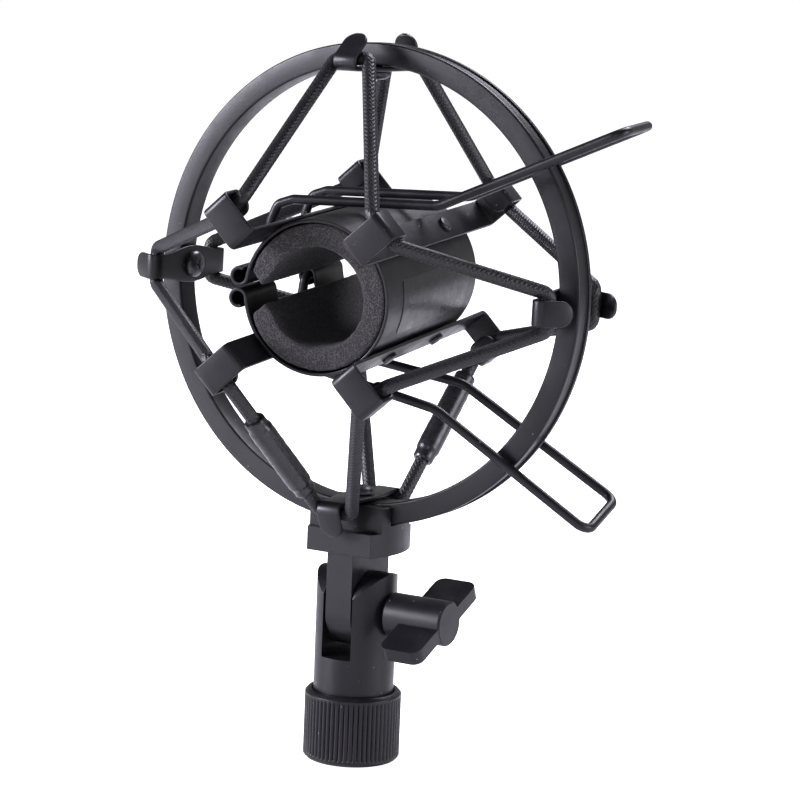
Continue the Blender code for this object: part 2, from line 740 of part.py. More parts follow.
def add_clip_bar(name, angle, material, parent):
    path = joined_path(clip_half_path(0.0), clip_half_path(BAR_REAR_EXTRA))
    strip = folded_strip(path, bar_half_width)
    matrix = CRADLE @ radial(angle)
    bar = add_mesh("clip_bar_" + name, strip, material, matrix, parent)
    for end in (-1, 1):
        place_in_bar = matrix @ Matrix.Translation((0, end * RIVET_Y, 0))
        hole = shaft(RIVET_R + GAP, BAR_R - 2 * MM, BAR_R + 2 * MM, 12)
        cutter = add_mesh(f"{name}_bar_hole_{end + 2}", hole, None, place_in_bar, cutter=True)
        combine(bar, cutter, "DIFFERENCE")
        seat = BAR_R + STRIP / 2 + GAP
        profile = [
            (0, SLEEVE_R - SHEET / 2 + 0.1 * MM),
            (RIVET_R, SLEEVE_R - SHEET / 2 + 0.1 * MM),
            (RIVET_R, seat),
            (RIVET_HEAD_R, seat),
            (RIVET_HEAD_R * 0.85, seat + 0.45 * MM),
            (RIVET_HEAD_R * 0.45, seat + 0.75 * MM),
            (0, seat + 0.8 * MM),
        ]
        end_name = "front" if end < 0 else "rear"
        add_mesh(f"clip_rivet_{name}_{end_name}", turned(profile, 16), material, place_in_bar, parent)


def handle_route(side):
    """Foot in the near knuckle, over the sleeve, out past the ring, across, and back to the far knuckle."""
    x, z = knuckle_centre(side)
    near = [Vector((x, -FOOT_END_Y, z)), Vector((x, -LEG_Y, z))]
    near += [Vector((u * MM, -LEG_Y, v * MM)) for u, v in HANDLE_LEGS[side][0]]
    far = [Vector((x, FOOT_END_Y, z)), Vector((x, LEG_Y, z))]
    far += [Vector((u * MM, LEG_Y, v * MM)) for u, v in HANDLE_LEGS[side][1]]
    radii = [0.0, FOOT_TURN_R] + [radius * MM for radius in LEG_TURN_RADII]
    points = rounded_route(near + far[::-1], radii + radii[::-1])
    return [CRADLE @ point for point in points]


# --- Elastic cords and their shrink sleeves ---


def cord_stations(end):
    """(middle, direction of travel, reach) at each hook and clip, clockwise from the top hook."""
    stations = []
    clips = [BAR_ANGLES[name] for name in ("upper_right", "lower_right", "lower_left", "upper_left")]
    hooks = [HOOK_ANGLES[name] for name in ("top", "right", "bottom", "left")]
    clip_y = -CORD_CLIP_Y if end < 0 else CORD_CLIP_Y + BAR_REAR_EXTRA
    for hook, clip in zip(hooks, clips):
        turned_hook = RING_CENTRE @ radial(hook)
        middle = turned_hook @ Vector((0, end * CORD_HOOK_Y[end], CORD_HOOK_R))
        stations.append((middle, turned_hook.to_3x3() @ Vector((1, 0, 0)), CORD_HOOK_REACH))
        turned_clip = CRADLE @ radial(clip)
        middle = turned_clip @ Vector((0, clip_y, CORD_CLIP_R))
        stations.append((middle, turned_clip.to_3x3() @ Vector((1, 0, 0)), CORD_CLIP_REACH))
    return stations


def cord_corners(end):
    corners = []
    for middle, travel, reach in cord_stations(end):
        corners.append(middle - travel * reach)
        corners.append(middle + travel * reach)
    return corners


def with_span_points(route, longest):
    """Splits the long straight stretches, so that the cord has points all along."""
    points = []
    for a, b in zip(route, route[1:] + route[:1]):
        pieces = max(1, round((b - a).length / longest))
        points += [a.lerp(b, i / pieces) for i in range(pieces)]
    return points


def add_cord(name, end, material, parent):
    route = rounded_route(cord_corners(end), CORD_TURN_R, closed=True, turn_steps=3)
    add_wire(name, with_span_points(route, 14 * MM), CORD_R, material, 2, closed=True, parent=parent)


def add_cord_sleeve(name, end, span, material, parent):
    """A shrunk tube round the splice, on the straight span between two corners of the route."""
    first, last, share = span
    corners = cord_corners(end)
    direction = corners[last] - corners[first]
    middle = corners[first] + direction * share
    turn = direction.to_track_quat("Z", "Y").to_matrix().to_4x4()
    half = SHRINK_LENGTH / 2
    bore = CORD_R + GAP
    thin = SHRINK_R - SHRINK_STEP
    profile = [
        (bore, -half),
        (thin, -half),
        (thin, -half * 0.8),
        (SHRINK_R, -half * 0.77),
        (SHRINK_R, half * 0.77),
        (thin, half * 0.8),
        (thin, half),
        (bore, half),
    ]
    add_mesh(name, turned(profile, 20), material, Matrix.Translation(middle) @ turn, parent)


def main():
    clear_scene()
    metal = make_material("black_satin_metal", BLACK_METAL, 0.42, 0.35)
    steel = make_material("black_fastener", BLACK_METAL, 0.32, 0.7)
    foam = make_material("open_cell_foam", (0.045, 0.043, 0.043, 1.0), 0.95, 0.0)
    braid = make_material("braided_elastic", BLACK_RUBBER, 0.8, 0.0)
    shrink = make_material("shrink_tube", BLACK_RUBBER, 0.38, 0.0)

    add_collar(metal)
    swivel = make_pivot("swivel_axis", (0, 0, RECESS_FLOOR))
    add_swivel(steel, swivel)
    add_fork(metal, swivel)
    knob_axis = make_pivot("thumbscrew_axis", (KNOB_START_X, 0, PIVOT_Z), swivel)
    add_thumbscrew(metal, steel, knob_axis)

    tilt = make_pivot("tilt_axis", (0, 0, PIVOT_Z), swivel)
    add_tilt_block(metal, tilt)
    add_ring(metal, tilt)
    add_hooks(metal, steel, tilt)
    add_cord("front_cord", -1, braid, tilt)
    add_cord("rear_cord", 1, braid, tilt)
    add_cord_sleeve("front_cord_sleeve", -1, FRONT_SHRINK_PLACE, shrink, tilt)
    add_cord_sleeve("rear_cord_sleeve", 1, REAR_SHRINK_PLACE, shrink, tilt)

    spine = CRADLE @ Vector((SLEEVE_R, 0, 0))
    for side, half in ((1, "upper"), (-1, "lower")):
        jaw = make_pivot(half + "_jaw_spine", spine, tilt)
        add_sleeve_half(half + "_sleeve_half", side, metal, jaw)
        add_foam(half + "_foam_pad", side, foam, jaw)
        for name, angle in BAR_ANGLES.items():
            if name.startswith(half):
                add_clip_bar(name, angle, metal, jaw)
        x, z = knuckle_centre(side)
        axis = make_pivot(half + "_handle_axis", CRADLE @ Vector((x, 0, z)), jaw)
        add_wire(half + "_handle", handle_route(side), WIRE_R, metal, 2, parent=axis)


main()
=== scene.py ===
"""Looks of the spider shock mount: its surfaces, fine shapes, light and camera.

Metres, +Z up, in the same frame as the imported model. The suspension ring's axis is Y.
The cradle has its own frame: x to the right, y along its bore, z up.
"""

import math

import bmesh
import bpy
from mathutils import Matrix, Vector, noise


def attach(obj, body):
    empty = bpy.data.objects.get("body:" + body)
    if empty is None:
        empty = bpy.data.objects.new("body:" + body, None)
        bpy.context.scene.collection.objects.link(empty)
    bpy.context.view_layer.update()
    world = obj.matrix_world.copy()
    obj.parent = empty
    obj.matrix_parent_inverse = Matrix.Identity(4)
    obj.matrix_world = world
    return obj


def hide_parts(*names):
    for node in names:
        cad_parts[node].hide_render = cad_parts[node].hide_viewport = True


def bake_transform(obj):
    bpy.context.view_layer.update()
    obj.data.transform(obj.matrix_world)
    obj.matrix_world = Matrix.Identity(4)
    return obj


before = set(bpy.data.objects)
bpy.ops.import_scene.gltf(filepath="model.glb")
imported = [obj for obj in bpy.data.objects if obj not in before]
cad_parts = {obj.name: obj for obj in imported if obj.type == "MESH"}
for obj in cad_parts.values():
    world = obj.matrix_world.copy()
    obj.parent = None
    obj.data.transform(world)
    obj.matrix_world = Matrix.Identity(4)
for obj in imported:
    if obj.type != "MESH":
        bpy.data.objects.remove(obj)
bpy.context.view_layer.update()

MM = 0.001

# Camera
CAMERA_AZIMUTH = math.radians(30.45)
CAMERA_ELEVATION = math.radians(5.98)
CAMERA_ROLL = math.radians(2.2)
CAMERA_DISTANCE = 0.6812
CAMERA_LENS = 123.1
CAMERA_SHIFT = (0.039, -0.145)

# Light
FLOOR_R = 6.0
FLOOR_DROP = 0.3 * MM
FLOOR_GLOW = 1.0  # as the camera sees it
FLOOR_REFLECTION = 0.1  # as the object reflects it
WALL_STRENGTH = 0.45
DOME_STRENGTH = 0.06
# Sines of the heights between which the surround's light fades from wall to dome.
WALL_HEIGHTS = (0.12, 0.5)
LIGHT_AIM = Vector((0, 0, 0.09))
LIGHT_COLOUR = (0.90, 0.88, 1.0)
# Each soft box: name, place, size in metres and power in watts.
SOFT_BOXES = (
    ("left_soft_box", (-0.8, -0.75, 0.4), 0.45, 26.0),
    ("right_soft_box", (0.95, 0.15, 0.3), 0.5, 6.0),
    ("top_soft_box", (0.05, 0.65, 0.95), 0.5, 13.0),
    ("front_fill", (0.5, -1.1, 0.35), 0.4, 1.5),
)

# Stand fitting
COLLAR_R = 12.2 * MM
COLLAR_HEIGHT = 17.5 * MM
COLLAR_CHAMFER = 0.8 * MM
SOCKET_R = 7.9 * MM
SOCKET_DEPTH = 11.5 * MM
RECESS_R = 10.45 * MM
RECESS_FLOOR = 14.5 * MM
PIVOT_HOLE_R = 3.2 * MM
KNURL_COUNT = 62
KNURL_DEPTH = 0.42 * MM
THREAD_PITCH = 25.4 / 27 * MM
THREAD_DEPTH = 0.4 * MM

# Ring and hooks
RING_Z = 120.2 * MM
RING_OUTER_R = 60.0 * MM
RING_INNER_R = 54.5 * MM
RING_DEPTH = 6.92 * MM
RING_GROOVE_WIDTH = 4.0 * MM
RING_GROOVE_DEPTH = 0.5 * MM
STRIP = 1.0 * MM
STRIP_EDGE_R = 0.3 * MM
HOOK_PLATE_R = 53.5 * MM
HOOK_FLAT = 13.6 * MM
HOOK_BEND_R = 1.9 * MM
HOOK_MID_WIDTH = 9.6 * MM
HOOK_NECK_WIDTH = 6.3 * MM
HOOK_ANGLES = {"top": 90.0, "right": -1.2, "bottom": -90.0, "left": 179.2}
# How far each tab is folded back, in degrees, and its length: front tab, then rear tab.
HOOK_TABS = {
    "top": ((140.0, 7.9 * MM), (112.0, 6.6 * MM)),
    "right": ((140.0, 7.0 * MM), (118.0, 6.8 * MM)),
    "bottom": ((115.0, 6.4 * MM), (115.0, 6.4 * MM)),
    "left": ((125.0, 7.0 * MM), (120.0, 7.0 * MM)),
}
SCREW_R = 1.5 * MM
SCREW_HEAD_R = 3.4 * MM
SCREW_HEAD_HEIGHT = 1.9 * MM
SCREW_END_R = 59.2 * MM
SEAT_SCREW_END_R = 63.5 * MM
CLEARANCE = 0.3 * MM

# Cradle
CRADLE_CENTRE = Vector((0.1, -3.0, 120.9)) * MM
CRADLE_YAW = math.radians(7.4)
CRADLE_PITCH = math.radians(3.2)
CRADLE_ROLL = math.radians(-3.4)
SLEEVE_R = 18.575 * MM
SHEET = 0.85 * MM
SLEEVE_HALF_LENGTH = 28.7 * MM
ROLL_R = 2.03 * MM
ROLL_SWEEP = 292.0
ROLL_ANGLE = 172.5
WINDOW_HALF_LENGTH = 11.5 * MM
WINDOW_HALF_HEIGHT = 5.2 * MM
FOAM_OUTER_R = 17.8 * MM
FOAM_INNER_R = 12.3 * MM
FOAM_HALF_LENGTH = 28.4 * MM
UPPER_FOAM_END = (158.0, (-17.0 * MM, 4.3 * MM), (-14.5 * MM, 0.9 * MM), 146.0)
LOWER_FOAM_END = (-155.0, (-16.2 * MM, -6.0 * MM), (-13.1 * MM, -3.1 * MM), -154.0)
LABEL_START_Y = -19.4 * MM
LABEL_END_Y = 23.1 * MM
LABEL_REACH = {1: 17.0, -1: 24.0}  # in degrees above and below the spine
LABEL_CORNER_R = 1.6 * MM
LABEL_THICKNESS = 0.16 * MM
SPINE_REACH = 0.03 * MM  # how near to z = 0 a point counts as on the spine

# Clip bars
BAR_ANGLES = {"upper_left": 135.0, "upper_right": 45.0, "lower_right": -45.0, "lower_left": 225.0}
BAR_WIDTH = 7.6 * MM
BAR_R = 19.9 * MM
BAR_END_Y = 41.8 * MM
BAR_REAR_EXTRA = 1.6 * MM  # how much further the rear clips are from the middle
CLIP_R = 30.8 * MM
CLIP_BACK_Y = 34.5 * MM
CLIP_TAB_END_R = 25.3 * MM
BAR_BEND_R = 1.2 * MM
BAR_CORNER_R = 2.6 * MM
RIVET_Y = 15.0 * MM
RIVET_R = 1.0 * MM
RIVET_HEAD_R = 1.9 * MM

# Squeeze handles: corners of the near and the far leg in the cradle's x and z, in millimetres.
WIRE_R = 1.2 * MM
LEG_Y = 10.3 * MM
FOOT_END_Y = 22.0 * MM
FOOT_TURN_R = 1.8 * MM
LEG_TURN_RADII = (8.0, 2.5, 3.5, 9.0, 3.2)
HANDLE_LEGS = {
    1: (
        ((-21.6, 13.6), (-19.8, 18.3), (-15.7, 20.0), (22.7, 23.1), (67.2, 46.0)),
        ((-21.6, 13.6), (-19.8, 18.3), (-15.7, 20.0), (22.7, 23.1), (67.2, 46.0)),
    ),
    -1: (
        ((-21.6, -13.6), (-19.8, -18.0), (-15.5, -19.8), (25.8, -26.5), (66.8, -50.2)),
        ((-21.6, -13.6), (-19.8, -18.0), (-15.5, -19.8), (24.8, -23.9), (66.6, -46.9)),
    ),
}

# Elastic cords, and the order in which they pass the hooks and the clips
HOOK_ORDER = ("top", "right", "bottom", "left")
CLIP_ORDER = ("upper_right", "lower_right", "lower_left", "upper_left")
CORD_R = 1.75 * MM
CORD_HOOK_Y = {-1: 11.8 * MM, 1: 12.5 * MM}  # at the front and at the rear
CORD_HOOK_R = 56.1 * MM
CORD_HOOK_REACH = 4.5 * MM
CORD_CLIP_Y = 37.1 * MM
CORD_CLIP_R = 28.25 * MM
CORD_CLIP_REACH = 4.6 * MM
CORD_TURN_R = 2.2 * MM
BRAID_STRANDS = 14  # in each direction
BRAID_CELL = 0.6 * MM
BRAID_DEPTH = 0.34 * MM
CORD_SIDES = 48
CORD_STEP = 0.2 * MM
SHRINK_R = 3.1 * MM
SHRINK_LENGTH = 26.0 * MM
SHRINK_STEP = 0.35 * MM
# The span of the cord's route that holds each shrink sleeve, and its middle's place along it.
SHRINK_PLACES = {"front": (4, 0.46), "rear": (3, 0.42)}

RING_CENTRE = Matrix.Translation((0, 0, RING_Z))


# --- Shapes ---


def cradle_frame():
    """The cradle's own axes: x across, y along the bore to the far end, z up."""
    across = Vector((math.cos(CRADLE_YAW), math.sin(CRADLE_YAW), 0))
    level = Vector((-across.y, across.x, 0)) * math.cos(CRADLE_PITCH)
    bore = level + Vector((0, 0, math.sin(CRADLE_PITCH)))
    basis = Matrix((across, bore, across.cross(bore))).transposed().to_4x4()
    return Matrix.Translation(CRADLE_CENTRE) @ basis @ Matrix.Rotation(-CRADLE_ROLL, 4, "Y")


CRADLE = cradle_frame()


def radial(angle):
    """Turns a piece made about +Z so that its +Z points out at this angle in the XZ plane."""
    return Matrix.Rotation(math.radians(90.0 - angle), 4, "Y")


def arc(radius, start, end, steps, centre=(0.0, 0.0)):
    """Points on a circle in a plane, with both ends, angles in degrees."""
    points = []
    for i in range(steps + 1):
        angle = math.radians(start + (end - start) * i / steps)
        points.append((centre[0] + radius * math.cos(angle), centre[1] + radius * math.sin(angle)))
    return points


def rounded_route(points, radii, closed=False, turn_steps=4):
    """Straight runs with each corner turned on an arc; it works in the plane and in space."""
    points = [Vector(point) for point in points]
    count = len(points)
    route = []
    for i, corner in enumerate(points):
        radius = radii[i] if isinstance(radii, list) else radii
        if radius == 0 or (not closed and i in (0, count - 1)):
            route.append(corner)
            continue
        to_last = (points[i - 1] - corner).normalized()
        to_next = (points[(i + 1) % count] - corner).normalized()
        inside = to_last.angle(to_next)
        trim = radius / math.tan(inside / 2)
        centre = corner + (to_last + to_next).normalized() * (radius / math.sin(inside / 2))
        first = corner + to_last * trim - centre
        last = corner + to_next * trim - centre
        sweep = first.angle(last)
        for step in range(turn_steps + 1):
            share = step / turn_steps
            point = first * math.sin((1 - share) * sweep) + last * math.sin(share * sweep)
            route.append(centre + point / math.sin(sweep))
    return route


def resampled(route, step):
    """The same route with points this far apart, or a little less, on every straight run."""
    points = [route[0]]
    for a, b in zip(route, route[1:]):
        pieces = max(1, math.ceil((b - a).length / step))
        points += [a.lerp(b, i / pieces) for i in range(1, pieces + 1)]
    return points


def loft(sections, closed=False):
    """A skin over rings of points, capped at both ends unless the last ring joins the first."""
    bm = bmesh.new()
    rings = [[bm.verts.new(point) for point in section] for section in sections]
    following = rings[1:] + rings[:1] if closed else rings[1:]
    for a, b in zip(rings, following):
        for i in range(len(a)):
            j = (i + 1) % len(a)
            bm.faces.new((a[i], a[j], b[j], b[i]))
    if not closed:
        bm.faces.new(rings[0])
        bm.faces.new(rings[-1])
    return bm


def turned(profile, segments):
    """A solid of revolution about Z from a closed profile of (radius, height) points."""
    sections = []
    for step in range(segments):
        angle = math.tau * step / segments
        sections.append([(r * math.cos(angle), r * math.sin(angle), z) for r, z in profile])
    return loft(sections, closed=True)


def tube_sections(route, radius_at, sides, side=None, start_run=0.0):
    """Rings round a route, carried along without twist; radius_at takes (run, angle).

    It gives back the rings, the last ring's side vector and the run reached.
    """
    tangent = (route[1] - route[0]).normalized()
    side = side or tangent.orthogonal().normalized()
    run = start_run
    rings = []
    for i, point in enumerate(route):
        before = route[max(i - 1, 0)]
        after = route[min(i + 1, len(route) - 1)]
        run += (point - before).length
        onward = (after - before).normalized()
        side = tangent.rotation_difference(onward) @ side
        tangent = onward
        up = tangent.cross(side)
        ring = []
        for k in range(sides):
            angle = math.tau * k / sides
            out = side * math.cos(angle) + up * math.sin(angle)
            ring.append(point + out * radius_at(run, angle))
        rings.append(ring)
    return rings, side, run


def folded_path(start, moves, bend_steps=8):
    """Walks a sheet's middle line: each move is a length, or a (radius, angle) bend to the left."""
    u, v = start
    heading = 0.0
    points = [(u, v, heading)]
    for move in moves:
        if isinstance(move, tuple):
            radius, turn = move
            centre = (u - radius * math.sin(heading), v + radius * math.cos(heading))
            first = heading
            for i in range(1, bend_steps + 1):
                heading = first + turn * i / bend_steps
                u = centre[0] + radius * math.sin(heading)
                v = centre[1] - radius * math.cos(heading)
                points.append((u, v, heading))
        else:
            u += move * math.cos(heading)
            v += move * math.sin(heading)
            points.append((u, v, heading))
    return points


def with_round_end(half, corner, edge):
    """Close points near the free end, where the strip's corners and its edge are rounded.

    Each point of the result also holds how far the edge's rounding has drawn it in.
    """
    u, v, heading = half[-1]
    points = [(*point, 0.0) for point in half[:-1]]
    closer = [(corner * share, 0.0) for share in (1.0, 0.8, 0.62, 0.46, 0.32, 0.2, 0.12)]
    for degrees in (30.0, 60.0, 90.0):
        angle = math.radians(degrees)
        back = edge * (1 - math.sin(angle)) * 0.98
        closer.append((back, edge * (1 - math.cos(angle))))
    for back, drawn_in in closer:
        at = (u - back * math.cos(heading), v - back * math.sin(heading))
        points.append((*at, heading, drawn_in))
    return points


def folded_strip(front, rear, half_width):
    """A strip of sheet metal with soft edges, bent in the YZ plane.

    half_width takes the run along the strip and the strip's whole length.
    """
    mirrored = [(-u, v, -heading, drawn_in) for u, v, heading, drawn_in in reversed(front)]
    path = mirrored + rear[1:]
    runs = [0.0]
    for a, b in zip(path, path[1:]):
        runs.append(runs[-1] + math.dist(a[:2], b[:2]))
    sections = []
    for (u, v, heading, drawn_in), run in zip(path, runs):
        wide = half_width(run, runs[-1]) - drawn_in
        thick = STRIP / 2 - drawn_in
        edge = max(STRIP_EDGE_R - drawn_in, 0.01 * MM)
        corners = [(-wide, -thick), (wide, -thick), (wide, thick), (-wide, thick)]
        section = []
        for across, out in rounded_route(corners, edge, closed=True, turn_steps=3):
            section.append((across, u - out * math.sin(heading), v + out * math.cos(heading)))
        sections.append(section)
    return loft(sections)


# --- Pieces and how they move ---


def add_piece(name, bm, material, replaced=(), matrix=None, sharp=35.0):
    """Makes the named object from a bmesh, smooth but for edges sharper than the angle given."""
    bmesh.ops.remove_doubles(bm, verts=bm.verts, dist=1e-7)
    bmesh.ops.recalc_face_normals(bm, faces=bm.faces)
    mesh = bpy.data.meshes.new(name)
    bm.to_mesh(mesh)
    bm.free()
    if matrix:
        mesh.transform(matrix)
    mesh.materials.append(material)
    mesh.shade_smooth()
    mesh.set_sharp_from_angle(angle=math.radians(sharp))
    obj = bpy.data.objects.new(name, mesh)
    bpy.context.scene.collection.objects.link(obj)
    if replaced:
        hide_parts(*replaced)
    return obj


def apply_modifiers(obj):
    graph = bpy.context.evaluated_depsgraph_get()
    mesh = bpy.data.meshes.new_from_object(obj.evaluated_get(graph))
    obj.modifiers.clear()
    obj.data = mesh


def soften_edges(obj, width, segments=3, skip=None):
    """Rounds every edge sharper than 35 degrees, but for those whose ends are both in skip."""
    bm = bmesh.new()
    bm.from_mesh(obj.data)
    limit = math.radians(35.0)
    edges = []
    for edge in bm.edges:
        if not edge.is_manifold or edge.calc_face_angle() < limit:
            continue
        if skip and all(skip(vert.co) for vert in edge.verts):
            continue
        edges.append(edge)
    bmesh.ops.bevel(
        bm,
        geom=edges,
        offset=width,
        offset_type="OFFSET",
        segments=segments,
        profile=0.5,
        affect="EDGES",
        clamp_overlap=True,
    )
    bm.to_mesh(obj.data)
    bm.free()
    obj.data.shade_smooth()
    obj.data.set_sharp_from_angle(angle=math.radians(50.0))
    # Normals follow the large faces, so that only the rounded edges shade as round.
    weighted = obj.modifiers.new("weighted", "WEIGHTED_NORMAL")
    weighted.keep_sharp = True
    apply_modifiers(obj)


def at_spine(point):
    """Whether a point of the cradle is where the two halves meet, in the cradle's own frame."""
    return point.x > 0 and abs(point.z) < SPINE_REACH


def refine_node(node, width, material, body):
    """Stands for a CAD node with the same shape, edges softened."""
    bm = bmesh.new()
    bm.from_mesh(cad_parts[node].data)
    bmesh.ops.remove_doubles(bm, verts=bm.verts, dist=2e-6)
    flat = math.radians(0.6)
    bmesh.ops.dissolve_limit(bm, angle_limit=flat, verts=bm.verts, edges=bm.edges)
    obj = add_piece(node + "_finished", bm, material, [node])
    soften_edges(obj, width)
    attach(obj, body)
    return obj


def bend_with_jaw(obj):
    """Bakes the piece's placement into its mesh."""
    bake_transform(obj)


def flex_at_spine(obj):
    """Bakes the piece's placement into its mesh, as bend_with_jaw does."""
    bend_with_jaw(obj)


# --- Materials ---


def new_material(name):
    material = bpy.data.materials.new(name)
    material.use_nodes = True
    return material


def add_noise(tree, scale, detail=3.0):
    """Noise in the object's own coordinates, scale in features for each metre."""
    place = tree.nodes.new("ShaderNodeTexCoord")
    texture = tree.nodes.new("ShaderNodeTexNoise")
    texture.inputs["Scale"].default_value = scale
    texture.inputs["Detail"].default_value = detail
    tree.links.new(place.outputs["Object"], texture.inputs["Vector"])
    return texture.outputs["Fac"]


def remap(tree, value, source, target):
    """Maps one range of a value onto another, clamped."""
    node = tree.nodes.new("ShaderNodeMapRange")
    node.inputs["From Min"].default_value = source[0]
    node.inputs["From Max"].default_value = source[1]
    node.inputs["To Min"].default_value = target[0]
    node.inputs["To Max"].default_value = target[1]
    tree.links.new(value, node.inputs["Value"])
    return node.outputs["Result"]


def feed(tree, socket, value):
    """Links the socket to another node's output, or sets its own number or colour."""
    if isinstance(value, bpy.types.NodeSocket):
        tree.links.new(value, socket)
    elif isinstance(value, tuple):
        socket.default_value = (*value, 1.0)
    else:
        socket.default_value = value


def mix_colours(tree, factor, low, high):
    """low and high are colours, or other nodes' colours."""
    node = tree.nodes.new("ShaderNodeMix")
    node.data_type = "RGBA"
    tree.links.new(factor, node.inputs["Factor"])
    feed(tree, node.inputs["A"], low)
    feed(tree, node.inputs["B"], high)
    return node.outputs["Result"]


def add_bumps(tree, layers):
    """Stacks bump layers of (height, strength, distance) onto the shader's normal."""
    normal = None
    for height, strength, distance in layers:
        node = tree.nodes.new("ShaderNodeBump")
        node.inputs["Strength"].default_value = strength
        node.inputs["Distance"].default_value = distance
        tree.links.new(height, node.inputs["Height"])
        if normal:
            tree.links.new(normal, node.inputs["Normal"])
        normal = node.outputs["Normal"]
    tree.links.new(normal, tree.nodes["Principled BSDF"].inputs["Normal"])


def set_varied(material, colours, roughnesses, scale, speck=None):
    """Clouds of two tones and a matching change of gloss; speck adds rare lighter dots."""
    tree = material.node_tree
    shader = tree.nodes["Principled BSDF"]
    clouds = add_noise(tree, scale)
    colour = mix_colours(tree, remap(tree, clouds, (0.35, 0.65), (0.0, 1.0)), *colours)
    if speck:
        dots = remap(tree, add_noise(tree, 900.0, 1.0), (0.775, 0.80), (0.0, 1.0))
        colour = mix_colours(tree, dots, colour, speck)
    tree.links.new(colour, shader.inputs["Base Color"])
    gloss = remap(tree, add_noise(tree, scale * 3.1), (0.3, 0.7), roughnesses)
    tree.links.new(gloss, shader.inputs["Roughness"])


def powder_coat():
    """Satin black powder coat: faint orange peel, fine grain and a few specks of dust."""
    material = new_material("satin_black_powder_coat")
    shader = material.node_tree.nodes["Principled BSDF"]
    shader.inputs["Specular IOR Level"].default_value = 0.28
    tones = ((0.0060, 0.0056, 0.0072), (0.0092, 0.0087, 0.0108))
    set_varied(material, tones, (0.31, 0.43), 70.0, speck=(0.16, 0.16, 0.17))
    tree = material.node_tree
    peel = add_noise(tree, 1100.0, 2.0)
    grain = add_noise(tree, 4200.0, 4.0)
    add_bumps(tree, [(peel, 0.16, 0.06 * MM), (grain, 0.2, 0.03 * MM)])
    return material


def worn_steel():
    """Black oxide fasteners, glossier than the paint and rubbed lighter in patches."""
    material = new_material("black_oxide_steel")
    shader = material.node_tree.nodes["Principled BSDF"]
    shader.inputs["Metallic"].default_value = 0.75
    tones = ((0.036, 0.035, 0.038), (0.085, 0.083, 0.088))
    set_varied(material, tones, (0.26, 0.46), 420.0)
    tree = material.node_tree
    add_bumps(tree, [(add_noise(tree, 3000.0, 4.0), 0.25, 0.03 * MM)])
    return material


def open_foam():
    """Open-cell foam: dark pores of painted shade between pale cell walls of painted light."""
    material = new_material("open_cell_foam")
    tree = material.node_tree
    shader = tree.nodes["Principled BSDF"]
    shader.inputs["Roughness"].default_value = 0.95
    shader.inputs["Specular IOR Level"].default_value = 0.2
    shader.inputs["Sheen Weight"].default_value = 0.08
    shader.inputs["Sheen Roughness"].default_value = 0.6
    shader.inputs["Sheen Tint"].default_value = (0.75, 0.75, 0.78, 1.0)
    place = tree.nodes.new("ShaderNodeTexCoord")
    cells = tree.nodes.new("ShaderNodeTexVoronoi")
    cells.inputs["Scale"].default_value = 2300.0
    tree.links.new(place.outputs["Object"], cells.inputs["Vector"])
    distance = cells.outputs["Distance"]
    # The mask is 0 in the pores and 1 on the cell walls: it places the painted shade and the
    # painted light.
    strut_light_pore_shade = remap(tree, distance, (0.25, 0.75), (0.0, 1.0))
    clouds = remap(tree, add_noise(tree, 260.0), (0.35, 0.65), (0.0, 0.6))
    colour = mix_colours(tree, clouds, (0.013, 0.0122, 0.0118), (0.021, 0.020, 0.020))
    # Painted shade and painted light: the pores take the darker tones, the cell walls the paler
    # one.
    colour = mix_colours(tree, strut_light_pore_shade, colour, (0.052, 0.050, 0.052))
    tree.links.new(colour, shader.inputs["Base Color"])
    add_bumps(tree, [(distance, 0.75, 0.25 * MM), (add_noise(tree, 5200.0), 0.4, 0.1 * MM)])
    return material


def braided_sheath():
    """Matt black yarn: dull, slightly fuzzy, with paler fibres on the strands' crowns."""
    material = new_material("braided_sheath")
    shader = material.node_tree.nodes["Principled BSDF"]
    shader.inputs["Specular IOR Level"].default_value = 0.45
    shader.inputs["Sheen Weight"].default_value = 0.05
    shader.inputs["Sheen Roughness"].default_value = 0.45
    shader.inputs["Sheen Tint"].default_value = (0.7, 0.7, 0.76, 1.0)
    tones = ((0.006, 0.006, 0.0072), (0.012, 0.012, 0.014))
    set_varied(material, tones, (0.36, 0.5), 1500.0)
    tree = material.node_tree
    add_bumps(tree, [(add_noise(tree, 6500.0, 4.0), 0.25, 0.04 * MM)])
    return material


def shrink_tube():
    """Heat-shrink tube: smooth semi-gloss plastic with soft ripples."""
    material = new_material("heat_shrink_tube")
    set_varied(material, ((0.008, 0.008, 0.0095), (0.015, 0.015, 0.0175)), (0.24, 0.38), 300.0)
    tree = material.node_tree
    add_bumps(tree, [(add_noise(tree, 420.0, 2.0), 0.25, 0.2 * MM)])
    return material


def label_film():
    """A blank self-adhesive film, a little smoother than the paint round it."""
    material = new_material("blank_label_film")
    shader = material.node_tree.nodes["Principled BSDF"]
    shader.inputs["Specular IOR Level"].default_value = 0.35
    set_varied(material, ((0.0030, 0.0030, 0.0038), (0.0070, 0.0068, 0.0080)), (0.24, 0.36), 110.0)
    tree = material.node_tree
    add_bumps(tree, [(add_noise(tree, 2600.0), 0.1, 0.03 * MM)])
    return material


# --- Stand fitting ---


